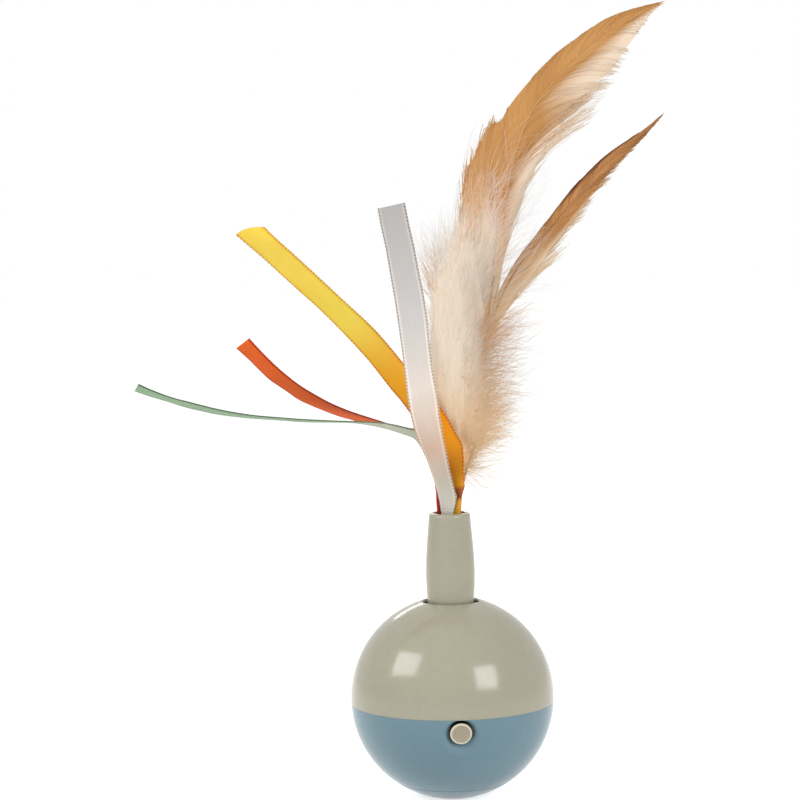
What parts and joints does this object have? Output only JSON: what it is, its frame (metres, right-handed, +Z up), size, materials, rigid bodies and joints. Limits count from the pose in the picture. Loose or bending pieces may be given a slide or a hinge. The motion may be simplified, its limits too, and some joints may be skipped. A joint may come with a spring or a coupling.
{
  "type": "cat wand toy",
  "caption": "Weighted ball with a push button and a motor-turned neck that holds satin ribbons and feathers.",
  "frame": {"origin": "middle of the small flat that the ball stands on", "axes": "+Z up along the neck's axis, -Y towards the push button and the viewer, +X to the viewer's right"},
  "size_m": [0.1775, 0.068, 0.2641],
  "materials": {
    "grey_green": "gloss",
    "blue": "gloss",
    "natural_nylon": "matte",
    "dark_plastic": "matte",
    "white_plastic": "matte",
    "plug_plastic": "matte",
    "board": "matte",
    "steel": "satin",
    "ballast_steel": "matte",
    "contact_plating": "satin",
    "brass": "satin",
    "white_satin": "satin",
    "yellow_satin": "satin",
    "orange_satin": "satin",
    "green_satin": "satin",
    "tan_barbs": "matte",
    "brown_barbs": "matte",
    "down": "matte",
    "red_lead": "satin",
    "black_lead": "satin"
  },
  "bodies": {
    "housing": {"upper_shell": "grey_green", "lower_shell": "blue", "battery_door": "blue", "door_screw": "steel", "shell_screw_1": "steel", "shell_screw_2": "steel", "ballast_ring": "ballast_steel", "battery_cell_1": "steel", "battery_cell_2": "steel", "battery_cell_3": "steel", "battery_spring": "contact_plating", "spring_contact": "contact_plating", "flat_contact": "contact_plating", "motor_can": "steel", "motor_end_cap": "dark_plastic", "motor_holder": "natural_nylon", "holder_screw_1": "steel", "holder_screw_2": "steel", "holder_screw_3": "steel", "idler_pin": "steel", "gearbox_cover": "natural_nylon", "cover_screw_1": "steel", "cover_screw_2": "steel", "cover_screw_3": "steel", "cover_screw_4": "steel", "thrust_washer": "brass", "switch_body": "dark_plastic", "circuit_board": "board", "battery_lead_red": "red_lead", "battery_lead_black": "black_lead", "motor_lead_red": "red_lead"},
    "turret": {"neck": "grey_green", "neck_screw": "steel", "output_gear": "natural_nylon", "root_plug": "plug_plastic", "white_ribbon": "white_satin", "yellow_ribbon": "yellow_satin", "orange_ribbon": "orange_satin", "green_ribbon": "green_satin", "tan_feather": "tan_barbs", "brown_feather": "brown_barbs", "down_plume": "down"},
    "idler": {"idler_gear": "natural_nylon"},
    "rotor": {"motor_shaft": "steel", "motor_pinion": "brass"},
    "button": {"power_button": "grey_green", "switch_plunger": "white_plastic"}
  },
  "joints": [
    {"name": "neck_spin", "type": "hinge", "parent": "housing", "child": "turret", "pos_m": [0, 0, 0.0535], "axis": [0, 0, 1], "continuous": true},
    {"name": "idler_spin", "type": "hinge", "parent": "housing", "child": "idler", "pos_m": [0, 0.0125, 0.044], "axis": [0, 0, 1], "continuous": true},
    {"name": "motor_spin", "type": "hinge", "parent": "housing", "child": "rotor", "pos_m": [0, 0, 0.03], "axis": [0, 0, 1], "continuous": true},
    {"name": "button_press", "type": "slide", "parent": "housing", "child": "button", "axis": [-0.0635, 0.9821, 0.1771], "range_m": [0, 0.0015], "stiffness_N_per_m": 500}
  ],
  "couplings": [
    {"joint": "idler_spin", "follows": "neck_spin", "ratio": -2.5714},
    {"joint": "motor_spin", "follows": "neck_spin", "ratio": 10.286}
  ]
}
